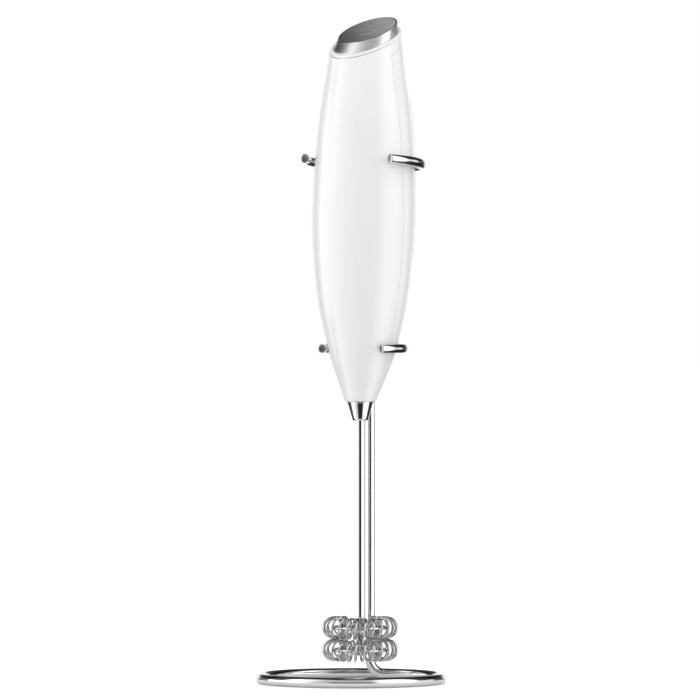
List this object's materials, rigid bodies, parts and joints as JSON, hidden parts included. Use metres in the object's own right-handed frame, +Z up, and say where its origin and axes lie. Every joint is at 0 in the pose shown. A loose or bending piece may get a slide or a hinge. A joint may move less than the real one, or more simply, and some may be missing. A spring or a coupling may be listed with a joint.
{
  "type": "milk frother",
  "caption": "Battery handheld milk frother with a teardrop handle, top push button and coil whisk, standing upright in an open wire ring stand.",
  "frame": {"origin": "centre of the base ring, at table level", "axes": "+Z up along the frother; -Y towards the front of the handle, away from its battery door; +X to the right as seen from the front"},
  "size_m": [0.0646, 0.0646, 0.2263],
  "materials": {
    "stand_wire": "polished",
    "white_shell": "gloss",
    "nose_chrome": "polished",
    "cap_metal": "brushed",
    "face_metal": "satin",
    "inner_plastic": "satin",
    "dark_plastic": "satin",
    "board_green": "satin",
    "cell_wrap": "gloss",
    "contact_plate": "plated",
    "spring_steel": "bright",
    "motor_steel": "satin",
    "magnet_ferrite": "matt",
    "bush_brass": "satin",
    "copper_winding": "enamelled",
    "whisk_steel": "bright",
    "red_sleeve": "satin",
    "black_sleeve": "satin"
  },
  "bodies": {
    "stand": {"base_ring": "stand_wire", "upright": "stand_wire", "upper_clip": "stand_wire", "lower_clip": "stand_wire"},
    "handle": {"front_shell": "white_shell", "rear_shell": "white_shell", "button_bezel": "white_shell", "nose_ferrule": "nose_chrome", "nose_bush": "bush_brass", "chassis": "inner_plastic", "cell_left": "cell_wrap", "cell_right": "cell_wrap", "cell_spring_lower": "spring_steel", "cell_spring_upper": "spring_steel", "bridge_contact": "contact_plate", "positive_contact": "contact_plate", "negative_contact": "contact_plate", "motor_can": "motor_steel", "motor_magnets": "magnet_ferrite", "motor_end_cap": "inner_plastic", "motor_bushes": "bush_brass", "motor_terminals": "contact_plate", "switch_board": "board_green", "board_screws": "spring_steel", "switch_case": "dark_plastic", "button_spring": "spring_steel", "lead_red": "red_sleeve", "lead_black": "black_sleeve"},
    "battery_door": {"battery_door": "white_shell"},
    "button": {"button_cap": "cap_metal", "button_face": "face_metal", "switch_plunger": "dark_plastic"},
    "whisk": {"motor_shaft": "spring_steel", "armature": "copper_winding", "commutator": "bush_brass", "coupling_sleeve": "bush_brass", "whisk_shaft": "whisk_steel", "whisk_hub": "whisk_steel", "upper_ring_wire": "whisk_steel", "lower_ring_wire": "whisk_steel", "upper_coil": "whisk_steel", "lower_coil": "whisk_steel"}
  },
  "joints": [
    {"name": "frother_lift", "type": "slide", "parent": "stand", "child": "handle", "axis": [0, 0, 1], "range_m": [0, 0.085]},
    {"name": "button_press", "type": "slide", "parent": "handle", "child": "button", "axis": [0, 0, -1], "range_m": [0, 0.0012], "stiffness_N_per_m": 1200, "springref_m": -0.0006, "deforming": ["button_spring"]},
    {"name": "door_slide", "type": "slide", "parent": "handle", "child": "battery_door", "axis": [0, 0, 1], "range_m": [0, 0.006]},
    {"name": "whisk_spin", "type": "hinge", "parent": "handle", "child": "whisk", "pos_m": [-0.0028, 0.0086, 0], "axis": [0, 0, 1], "continuous": true}
  ]
}
